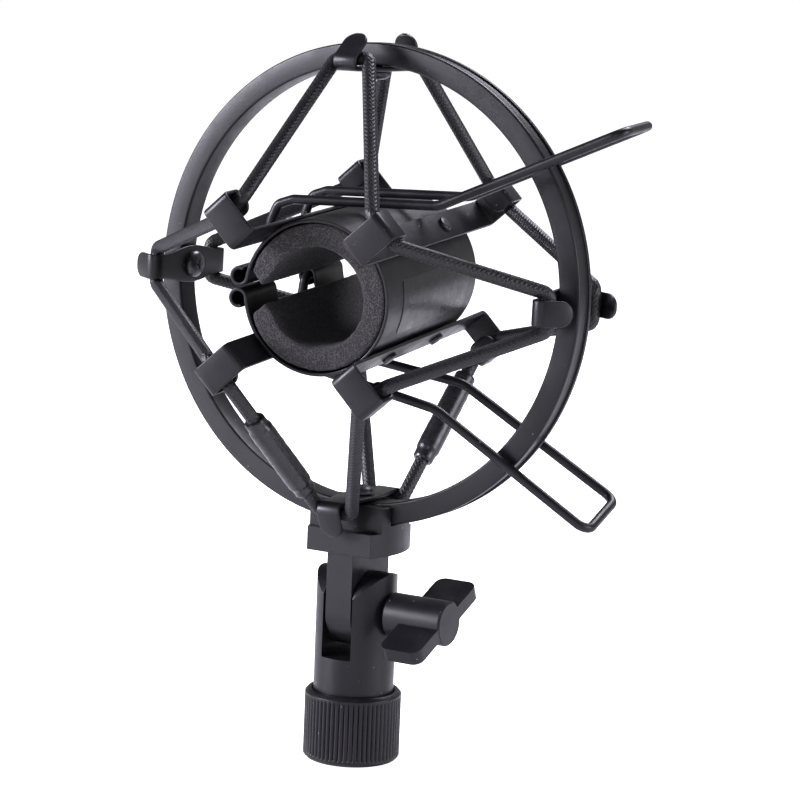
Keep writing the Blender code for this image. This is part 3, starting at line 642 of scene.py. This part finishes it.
def collar_profile():
    """The collar's section with its knurled wall, and its bore cut fine enough for the thread."""
    chamfer = COLLAR_CHAMFER
    knurl = [COLLAR_HEIGHT * share for share in (0.075, 0.1, 0.5, 0.9, 0.925)]
    outer = [(SOCKET_R + chamfer, 0), (COLLAR_R - chamfer, 0), (COLLAR_R, chamfer)]
    outer += [(COLLAR_R, z) for z in knurl]
    outer += [
        (COLLAR_R, COLLAR_HEIGHT - chamfer),
        (COLLAR_R - chamfer, COLLAR_HEIGHT),
        (RECESS_R, COLLAR_HEIGHT),
        (RECESS_R, RECESS_FLOOR),
        (PIVOT_HOLE_R, RECESS_FLOOR),
        (PIVOT_HOLE_R, SOCKET_DEPTH),
    ]
    soft = 0.25 * MM
    radii = [soft] * 3 + [0.0] * len(knurl) + [soft] * 6
    profile = [tuple(point) for point in rounded_route(outer, radii, closed=True, turn_steps=3)]
    bore_points = 72
    for i in range(bore_points):
        z = SOCKET_DEPTH - (SOCKET_DEPTH - chamfer) * i / (bore_points - 1)
        profile.append((SOCKET_R, z))
    return profile


def add_collar(material):
    profile = collar_profile()
    low = COLLAR_HEIGHT * 0.09
    high = COLLAR_HEIGHT * 0.91
    segments = KNURL_COUNT * 8
    sections = []
    for step in range(segments):
        angle = math.tau * step / segments
        groove = (1 - abs(math.sin(angle * KNURL_COUNT / 2))) ** 1.4
        section = []
        for r, z in profile:
            if abs(r - COLLAR_R) < 1e-9 and low < z < high:
                r -= KNURL_DEPTH * groove
            elif abs(r - SOCKET_R) < 1e-9 and COLLAR_CHAMFER < z < SOCKET_DEPTH:
                turn = (z / THREAD_PITCH - angle / math.tau) % 1
                r -= THREAD_DEPTH * (1 - abs(2 * turn - 1))
            section.append((r * math.cos(angle), r * math.sin(angle), z))
        sections.append(section)
    collar = add_piece(
        "knurled_collar_finished",
        loft(sections, closed=True),
        material,
        ["knurled_collar"],
    )
    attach(collar, "stand_collar")


# --- Ring, hooks and screws ---


def add_ring(material):
    half = RING_DEPTH / 2
    groove = RING_GROOVE_WIDTH / 2
    floor = RING_OUTER_R - RING_GROOVE_DEPTH
    corners = [
        (RING_INNER_R, half),
        (RING_OUTER_R, half),
        (RING_OUTER_R, groove),
        (floor, groove),
        (floor, -groove),
        (RING_OUTER_R, -groove),
        (RING_OUTER_R, -half),
        (RING_INNER_R, -half),
    ]
    edge = 0.55 * MM
    fine = 0.14 * MM
    radii = [edge, edge, fine, fine, fine, fine, edge, edge]
    profile = rounded_route(corners, radii, closed=True, turn_steps=5)
    turn = RING_CENTRE @ Matrix.Rotation(math.radians(90.0), 4, "X")
    bm = turned(profile, 288)
    ring = add_piece("ring_finished", bm, material, ["suspension_ring"], turn, 60.0)
    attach(ring, "head")


def hook_half_width(run, total):
    """Lens-shaped in the middle, straight at the tabs, and round at both ends."""
    neck = HOOK_NECK_WIDTH / 2
    from_end = min(run, total - run)
    if from_end < neck:
        return max(math.sqrt(max(neck**2 - (neck - from_end) ** 2, 0)), 0.9 * MM)
    from_middle = abs(run - total / 2)
    if from_middle < HOOK_FLAT:
        swell = (HOOK_MID_WIDTH - HOOK_NECK_WIDTH) / 2
        return neck + swell * (1 + math.cos(math.pi * from_middle / HOOK_FLAT)) / 2
    return neck


def hook_half_path(tab_turn, tab_length):
    flat = [HOOK_FLAT / 10] * 10
    bend = (HOOK_BEND_R, math.radians(tab_turn))
    half = folded_path((0, HOOK_PLATE_R), [*flat, bend, tab_length], 12)
    return with_round_end(half, HOOK_NECK_WIDTH / 2, STRIP_EDGE_R)


def hook_screw(end):
    """A pan-head screw that points outwards, with a ribbed shank for its thread."""
    seat = HOOK_PLATE_R - STRIP / 2 - CLEARANCE
    top = seat - SCREW_HEAD_HEIGHT
    profile = [(0, top)]
    for degrees in range(15, 91, 15):
        angle = math.radians(degrees)
        r = SCREW_HEAD_R * math.sin(angle) ** 0.55
        profile.append((r, seat - SCREW_HEAD_HEIGHT * (0.3 + 0.7 * math.cos(angle) ** 1.3)))
    profile += [(SCREW_HEAD_R, seat - 0.1 * MM), (SCREW_HEAD_R - 0.1 * MM, seat), (SCREW_R, seat)]
    ribs = int((end - seat) / (0.25 * MM))
    for i in range(1, ribs):
        drop = 0.18 * MM if i % 2 else 0.0
        profile.append((SCREW_R - drop, seat + i * 0.25 * MM))
    profile += [(SCREW_R - 0.4 * MM, end), (0, end)]
    return turned(profile, 48)


def cross_recess(top):
    """The screwdriver's cross, tapering into the head from its top."""
    bm = bmesh.new()
    long_half = 1.75 * MM
    slot_half = 0.42 * MM
    depth = 1.3 * MM
    for turn in (0.0, 90.0):
        rotation = Matrix.Rotation(math.radians(turn), 3, "Z")
        low = []
        high = []
        for x, y in ((-1, -1), (1, -1), (1, 1), (-1, 1)):
            low.append(bm.verts.new(rotation @ Vector((x * long_half, y * slot_half, top - MM))))
            deep = Vector((x * long_half * 0.35, y * slot_half * 0.6, top + depth))
            high.append(bm.verts.new(rotation @ deep))
        bm.faces.new(low)
        bm.faces.new(high)
        for i in range(4):
            j = (i + 1) % 4
            bm.faces.new((low[i], low[j], high[j], high[i]))
    bmesh.ops.recalc_face_normals(bm, faces=bm.faces)
    return bm


def cut_with(obj, bm):
    """Cuts the bmesh's shape out of the piece, also where its own parts cross."""
    mesh = bpy.data.meshes.new("cutter")
    bm.to_mesh(mesh)
    bm.free()
    cutter = bpy.data.objects.new("cutter", mesh)
    bpy.context.scene.collection.objects.link(cutter)
    boolean = obj.modifiers.new("cut", "BOOLEAN")
    boolean.operation = "DIFFERENCE"
    boolean.use_self = True
    boolean.object = cutter
    apply_modifiers(obj)
    bpy.data.objects.remove(cutter)
    obj.data.set_sharp_from_angle(angle=math.radians(35.0))


def add_hooks(material, steel):
    head_top = HOOK_PLATE_R - STRIP / 2 - CLEARANCE - SCREW_HEAD_HEIGHT
    for side, angle in HOOK_ANGLES.items():
        front, rear = HOOK_TABS[side]
        strip = folded_strip(hook_half_path(*front), hook_half_path(*rear), hook_half_width)
        matrix = RING_CENTRE @ radial(angle)
        node = "ring_hook_" + side
        hook = add_piece(node + "_finished", strip, material, [node], matrix)
        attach(hook, "head")
        end = SEAT_SCREW_END_R if side == "bottom" else SCREW_END_R
        node = "hook_screw_" + side
        screw = add_piece(node + "_finished", hook_screw(end), steel, [node])
        cut_with(screw, cross_recess(head_top))
        screw.data.transform(matrix)
        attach(screw, "head")


# --- Sleeve, label and foam ---


def knuckle_centre(side):
    """Centre of a rolled knuckle: side is 1 above the slit and -1 below."""
    angle = math.radians(ROLL_ANGLE)
    away = SLEEVE_R + ROLL_R
    return away * math.cos(angle), away * math.sin(angle) * side


def sleeve_path(side):
    """Middle line of one half, from the spine to the end of its rolled knuckle."""
    window_turn = math.degrees(math.asin(WINDOW_HALF_HEIGHT / SLEEVE_R))
    points = arc(SLEEVE_R, 0, 180.0 - window_turn, 60)
    points += arc(SLEEVE_R, 180.0 - window_turn, ROLL_ANGLE, 6)[1:]
    start = ROLL_ANGLE - 180.0
    points += arc(ROLL_R, start, start - ROLL_SWEEP, 36, knuckle_centre(1))[1:]
    return [(x, z * side) for x, z in points]


def add_sleeve_half(name, side, material):
    """The rolled sheet as a surface with its window left out, thickened and with soft edges."""
    path = sleeve_path(side)
    length = SLEEVE_HALF_LENGTH
    window = WINDOW_HALF_LENGTH
    rows = [-length, -20 * MM, -window, 0.0, window, 20 * MM, length]
    bm = bmesh.new()
    grid = [[bm.verts.new((x, y, z)) for y in rows] for x, z in path]
    for i in range(len(path) - 1):
        for j in range(len(rows) - 1):
            in_rows = abs(rows[j] + rows[j + 1]) < 1.5 * window
            corners = (path[i], path[i + 1])
            past_edge = all(abs(z) <= WINDOW_HALF_HEIGHT + 1e-6 and x < 0 for x, z in corners)
            if in_rows and past_edge:
                continue
            bm.faces.new((grid[i][j], grid[i + 1][j], grid[i + 1][j + 1], grid[i][j + 1]))
    loose = [v for v in bm.verts if not v.link_faces]
    bmesh.ops.delete(bm, geom=loose, context="VERTS")
    half = add_piece(name + "_finished", bm, material, [name])
    solid = half.modifiers.new("sheet", "SOLIDIFY")
    solid.thickness = SHEET
    solid.offset = 0.0
    solid.use_even_offset = True
    apply_modifiers(half)
    for vert in half.data.vertices:
        if at_spine(vert.co):
            vert.co.z = 0.0
    soften_edges(half, 0.24 * MM, skip=at_spine)
    half.data.transform(CRADLE)
    return half


def label_edge(run):
    """How much the label's end is drawn in at this distance from its far corner."""
    short = max(LABEL_CORNER_R - run, 0.0)
    return LABEL_CORNER_R - math.sqrt(LABEL_CORNER_R**2 - short**2)


def add_label_half(name, side, material):
    """Half of the blank label, from the spine to its rounded corners."""
    steps = 40
    rows = 24
    bottom = SLEEVE_R + SHEET / 2 + 0.01 * MM
    reach = math.radians(LABEL_REACH[side])
    sections = []
    for i in range(steps + 1):
        # Closer together towards the end, where the corners turn.
        angle = reach * math.sin(math.pi / 2 * i / steps)
        draw = label_edge((reach - angle) * bottom)
        low = LABEL_START_Y + draw
        high = LABEL_END_Y - draw
        edge = LABEL_THICKNESS * 0.6
        outline = [(low, 0), (high, 0)]
        for k in range(rows + 1):
            outline.append((high - edge - (high - low - 2 * edge) * k / rows, LABEL_THICKNESS))
        section = []
        for y, out in outline:
            r = bottom + out
            section.append((r * math.cos(angle), y, side * r * math.sin(angle)))
        sections.append(section)
    bm = loft(sections)
    return add_piece(name, bm, material, matrix=CRADLE)


def foam_edges(side):
    """The section's edge on the sheet and its edge on the bore, with matching points."""
    foam_end = UPPER_FOAM_END if side > 0 else LOWER_FOAM_END
    outer_end, outer_corner, inner_corner, inner_end = foam_end
    steps = 84
    outer = [Vector(p) for p in arc(FOAM_OUTER_R, 0.0, outer_end, steps)]
    inner = [Vector(p) for p in arc(FOAM_INNER_R, 0.0, inner_end, steps)]
    lean = 8
    for i in range(1, lean + 1):
        outer.append(outer[steps].lerp(Vector(outer_corner), i / lean))
        inner.append(inner[steps].lerp(Vector(inner_corner), i / lean))
    return outer, inner


def foam_surface(side):
    """The pad's skin as a fine net of squares: both faces, the free end, the spine and the ends."""
    outer, inner = foam_edges(side)
    across = 9
    rows = 92
    columns = len(outer) - 1
    bm = bmesh.new()
    points = {}

    def corner(u, v, w):
        key = (u, v, w)
        if key not in points:
            place = inner[u].lerp(outer[u], v / across)
            y = FOAM_HALF_LENGTH * (2 * w / rows - 1)
            points[key] = bm.verts.new((place.x, y, place.y))
        return points[key]

    def quad(*keys):
        bm.faces.new([corner(*key) for key in keys])

    for u in range(columns):
        for w in range(rows):
            for v in (0, across):
                quad((u, v, w), (u + 1, v, w), (u + 1, v, w + 1), (u, v, w + 1))
        for v in range(across):
            for w in (0, rows):
                quad((u, v, w), (u + 1, v, w), (u + 1, v + 1, w), (u, v + 1, w))
    for v in range(across):
        for w in range(rows):
            for u in (0, columns):
                quad((u, v, w), (u, v + 1, w), (u, v + 1, w + 1), (u, v, w + 1))
    return bm


def roughen(bm, smoothing, amounts):
    """Rounds the edges by smoothing, then pushes each point along its normal by layers of noise.

    Points at the spine stay, so that the two halves meet there.
    """
    bmesh.ops.recalc_face_normals(bm, faces=bm.faces)
    free = [vert for vert in bm.verts if not at_spine(vert.co)]
    for _ in range(smoothing):
        bmesh.ops.smooth_vert(
            bm, verts=free, factor=0.5, use_axis_x=True, use_axis_y=True, use_axis_z=True
        )
    bm.normal_update()
    moved = []
    for vert in free:
        push = sum(noise.noise(vert.co * scale) * depth for scale, depth in amounts)
        moved.append(vert.co + vert.normal * push)
    for vert, place in zip(free, moved):
        vert.co = place


def add_foam(name, side, material):
    bm = foam_surface(side)
    roughen(bm, 2, [(90.0, 0.22 * MM), (900.0, 0.11 * MM)])
    return add_piece(name + "_finished", bm, material, [name], CRADLE, 70.0)


# --- Clip bars, rivets and handles ---


def bar_half_width(run, total):
    """Full width, with rounded corners at both tab ends."""
    from_end = min(run, total - run)
    short = max(BAR_CORNER_R - from_end, 0.0)
    return BAR_WIDTH / 2 - BAR_CORNER_R + math.sqrt(BAR_CORNER_R**2 - short**2)


def clip_half_path(extra):
    """The bar's middle line from its centre to a tab end, with extra length before the clip."""
    bend = (BAR_BEND_R, math.radians(90.0))
    moves = [
        BAR_END_Y + extra - BAR_BEND_R,
        bend,
        CLIP_R - BAR_R - 2 * BAR_BEND_R,
        bend,
        BAR_END_Y - CLIP_BACK_Y - 2 * BAR_BEND_R,
        bend,
        CLIP_R - BAR_BEND_R - CLIP_TAB_END_R,
    ]
    return with_round_end(folded_path((0, BAR_R), moves), BAR_CORNER_R, STRIP_EDGE_R)


def clip_bar():
    return folded_strip(clip_half_path(0.0), clip_half_path(BAR_REAR_EXTRA), bar_half_width)


def rivet():
    """A low round head with a soft rim, and the shank down through the bar and the sheet."""
    seat = BAR_R + STRIP / 2 + 0.02 * MM
    foot = SLEEVE_R - SHEET / 2 + 0.1 * MM
    top = BAR_R + STRIP / 2 + CLEARANCE + 0.8 * MM
    corners = [
        (0, foot),
        (RIVET_R, foot),
        (RIVET_R, seat),
        (RIVET_HEAD_R, seat),
        (RIVET_HEAD_R, top - 0.15 * MM),
        (RIVET_R, top),
        (0, top),
    ]
    radii = [0.0, 0.0, 0.0, 0.1 * MM, 0.3 * MM, 0.5 * MM, 0.0]
    return turned(rounded_route(corners, radii, closed=True, turn_steps=4), 40)


def add_clip_bars(half, material, steel):
    for name, angle in BAR_ANGLES.items():
        if not name.startswith(half):
            continue
        matrix = CRADLE @ radial(angle)
        node = "clip_bar_" + name
        bar = add_piece(node + "_finished", clip_bar(), material, [node], matrix)
        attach(bar, half + "_jaw")
        for end, place in (("front", -RIVET_Y), ("rear", RIVET_Y)):
            node = f"clip_rivet_{name}_{end}"
            spot = matrix @ Matrix.Translation((0, place, 0))
            head = add_piece(node + "_finished", rivet(), steel, [node], spot)
            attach(head, half + "_jaw")


def add_handle(name, side, material):
    """Foot in the near knuckle, over the sleeve, out past the ring, across, and back."""
    x, z = knuckle_centre(side)
    near = [Vector((x, -FOOT_END_Y, z)), Vector((x, -LEG_Y, z))]
    near += [Vector((u * MM, -LEG_Y, v * MM)) for u, v in HANDLE_LEGS[side][0]]
    far = [Vector((x, FOOT_END_Y, z)), Vector((x, LEG_Y, z))]
    far += [Vector((u * MM, LEG_Y, v * MM)) for u, v in HANDLE_LEGS[side][1]]
    radii = [0.0, FOOT_TURN_R] + [radius * MM for radius in LEG_TURN_RADII]
    route = rounded_route(near + far[::-1], radii + radii[::-1], turn_steps=14)
    route = resampled(route, 3 * MM)
    rings, _, _ = tube_sections(route, lambda run, angle: WIRE_R, 28)
    wire = add_piece(name + "_finished", loft(rings), material, [name], CRADLE, 50.0)
    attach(wire, name)


# --- Elastic cords and their shrink sleeves ---


def cord_stations(end):
    """(middle, direction of travel, reach) at each hook and clip, clockwise from the top hook."""
    stations = []
    clips = [BAR_ANGLES[name] for name in CLIP_ORDER]
    hooks = [HOOK_ANGLES[name] for name in HOOK_ORDER]
    clip_y = -CORD_CLIP_Y if end < 0 else CORD_CLIP_Y + BAR_REAR_EXTRA
    for hook, clip in zip(hooks, clips):
        turned_hook = RING_CENTRE @ radial(hook)
        middle = turned_hook @ Vector((0, end * CORD_HOOK_Y[end], CORD_HOOK_R))
        stations.append((middle, turned_hook.to_3x3() @ Vector((1, 0, 0)), CORD_HOOK_REACH))
        turned_clip = CRADLE @ radial(clip)
        middle = turned_clip @ Vector((0, clip_y, CORD_CLIP_R))
        stations.append((middle, turned_clip.to_3x3() @ Vector((1, 0, 0)), CORD_CLIP_REACH))
    return stations


def braid_radius(run, angle):
    """A two-over-two braid: each strand is a low crown, and it passes over two and under two."""
    around = BRAID_STRANDS * angle / math.tau
    along = run / BRAID_CELL
    left = around + along / 2
    right = around - along / 2
    over = (math.floor(left) + math.floor(right)) % 4 < 2
    across = left if over else right
    crown = math.sin(math.pi * (across % 1)) ** 0.7
    return CORD_R - BRAID_DEPTH * (1 - crown)


def add_cord(end_name, end, material, tube):
    """One piece for each span between a hook and a clip."""
    stations = cord_stations(end)
    side = None
    run = 0.0
    for k, (middle, travel, reach) in enumerate(stations):
        next_middle, next_travel, next_reach = stations[(k + 1) % len(stations)]
        leave = middle + travel * reach
        arrive = next_middle - next_travel * next_reach
        corners = [middle, leave, arrive, next_middle]
        route = resampled(rounded_route(corners, CORD_TURN_R, turn_steps=12), CORD_STEP)
        rings, side, run = tube_sections(route, braid_radius, CORD_SIDES, side, run)
        name = f"{end_name}_cord_span_{k + 1}"
        node = end_name + "_cord"
        span = add_piece(name, loft(rings), material, [node], sharp=75.0)
        bend_with_jaw(span)
        if k == SHRINK_PLACES[end_name][0]:
            add_cord_sleeve(end_name, leave, arrive, tube)
            bend_with_jaw(bpy.data.objects[end_name + "_splice_tube"])


def shrink_radius(along):
    """The tube's radius by distance from its middle: thin ends, then a step, and slight waves."""
    half = SHRINK_LENGTH / 2
    step = min(max((abs(along) - half * 0.74) / (half * 0.08), 0.0), 1.0)
    step = step * step * (3 - 2 * step)
    waves = 0.07 * MM * math.sin(along * 900.0) * math.sin(along * 310.0 + 1.0)
    return SHRINK_R - SHRINK_STEP * step - abs(waves)


def add_cord_sleeve(end_name, leave, arrive, material):
    direction = (arrive - leave).normalized()
    middle = leave.lerp(arrive, SHRINK_PLACES[end_name][1])
    half = SHRINK_LENGTH / 2
    lip = 0.25 * MM
    bore = CORD_R + 0.05 * MM
    profile = [(bore, half), (bore, -half)]
    rows = 60
    for i in range(rows + 1):
        along = -half + SHRINK_LENGTH * i / rows
        from_end = min(half - abs(along), lip)
        soft = lip - math.sqrt(lip**2 - (lip - from_end) ** 2)
        profile.append((shrink_radius(along) - soft, along))
    turn = direction.to_track_quat("Z", "Y").to_matrix().to_4x4()
    matrix = Matrix.Translation(middle) @ turn
    node = end_name + "_cord_sleeve"
    bm = turned(profile, 48)
    add_piece(end_name + "_splice_tube", bm, material, [node], matrix, 60.0)


# --- Camera, light and floor ---


def add_camera():
    level = Vector((math.cos(CAMERA_AZIMUTH), math.sin(CAMERA_AZIMUTH), 0))
    flat_back = Vector((level.y, -level.x, 0)) * math.cos(CAMERA_ELEVATION)
    back = flat_back + Vector((0, 0, math.sin(CAMERA_ELEVATION)))
    upright = back.cross(level)
    right = level * math.cos(CAMERA_ROLL) + upright * math.sin(CAMERA_ROLL)
    data = bpy.data.cameras.new("camera")
    data.lens = CAMERA_LENS
    data.shift_x, data.shift_y = CAMERA_SHIFT
    camera = bpy.data.objects.new("camera", data)
    bpy.context.scene.collection.objects.link(camera)
    place = Matrix.Translation(Vector((0, 0, RING_Z)) + back * CAMERA_DISTANCE)
    camera.matrix_world = place @ Matrix((right, back.cross(right), back)).transposed().to_4x4()
    bpy.context.scene.camera = camera


def add_light(name, place, size, power):
    """A square soft box that faces the middle of the object."""
    data = bpy.data.lights.new(name, "AREA")
    data.size = size
    data.energy = power
    data.color = LIGHT_COLOUR
    light = bpy.data.objects.new(name, data)
    bpy.context.scene.collection.objects.link(light)
    light.location = place
    aim = LIGHT_AIM - light.location
    light.rotation_euler = aim.to_track_quat("-Z", "Y").to_euler()


def seen_or_lit(tree, seen, lit):
    """One strength for the camera and another for all other rays; lit may be a node's output."""
    ray = tree.nodes.new("ShaderNodeLightPath")
    choice = tree.nodes.new("ShaderNodeMix")
    tree.links.new(ray.outputs["Is Camera Ray"], choice.inputs["Factor"])
    choice.inputs["B"].default_value = seen
    feed(tree, choice.inputs["A"], lit)
    return choice.outputs["Result"]


def add_stage():
    """Floor, surround and soft boxes: white to the camera, and dimmer where the object reflects."""
    bm = bmesh.new()
    bmesh.ops.create_circle(bm, cap_ends=True, segments=96, radius=FLOOR_R)
    floor_material = new_material("pale_floor")
    floor_shader = floor_material.node_tree.nodes["Principled BSDF"]
    floor_shader.inputs["Base Color"].default_value = (0.93, 0.93, 0.94, 1.0)
    floor_shader.inputs["Roughness"].default_value = 0.55
    floor_shader.inputs["Emission Color"].default_value = (1.0, 1.0, 1.0, 1.0)
    floor_tree = floor_material.node_tree
    glow = seen_or_lit(floor_tree, FLOOR_GLOW, FLOOR_REFLECTION)
    floor_tree.links.new(glow, floor_shader.inputs["Emission Strength"])
    mesh = bpy.data.meshes.new("floor")
    bm.to_mesh(mesh)
    bm.free()
    mesh.materials.append(floor_material)
    floor = bpy.data.objects.new("floor", mesh)
    floor.location = (0, 0, -FLOOR_DROP)
    bpy.context.scene.collection.objects.link(floor)

    world = bpy.data.worlds.new("surround")
    bpy.context.scene.world = world
    world.use_nodes = True
    tree = world.node_tree
    place = tree.nodes.new("ShaderNodeTexCoord")
    split = tree.nodes.new("ShaderNodeSeparateXYZ")
    tree.links.new(place.outputs["Generated"], split.inputs["Vector"])
    surround = remap(tree, split.outputs["Z"], WALL_HEIGHTS, (WALL_STRENGTH, DOME_STRENGTH))
    strength = seen_or_lit(tree, 1.0, surround)
    tree.links.new(strength, tree.nodes["Background"].inputs["Strength"])
    tree.nodes["Background"].inputs["Color"].default_value = (1.0, 1.0, 1.0, 1.0)

    for name, spot, size, power in SOFT_BOXES:
        add_light(name, spot, size, power)
    bpy.context.scene.view_settings.view_transform = "Standard"


def main():
    add_camera()
    add_stage()
    paint = powder_coat()
    steel = worn_steel()
    foam = open_foam()
    braid = braided_sheath()
    tube = shrink_tube()
    film = label_film()

    add_collar(paint)
    refine_node("fork_tube", 0.35 * MM, paint, "fork")
    refine_node("tilt_block", 0.35 * MM, paint, "head")
    refine_node("wing_knob", 0.4 * MM, paint, "thumbscrew")
    for node in ("swivel_washer", "swivel_screw", "clamp_bolt"):
        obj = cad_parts[node]
        obj.data.materials.clear()
        obj.data.materials.append(steel)
    add_ring(paint)
    add_hooks(paint, steel)
    add_cord("front", -1, braid, tube)
    add_cord("rear", 1, braid, tube)
    for side, half in ((1, "upper"), (-1, "lower")):
        flex_at_spine(add_sleeve_half(half + "_sleeve_half", side, paint))
        flex_at_spine(add_label_half(half + "_label_half", side, film))
        pad = add_foam(half + "_foam_pad", side, foam)
        flex_at_spine(pad)
        add_clip_bars(half, paint, steel)
        add_handle(half + "_handle", side, paint)


main()
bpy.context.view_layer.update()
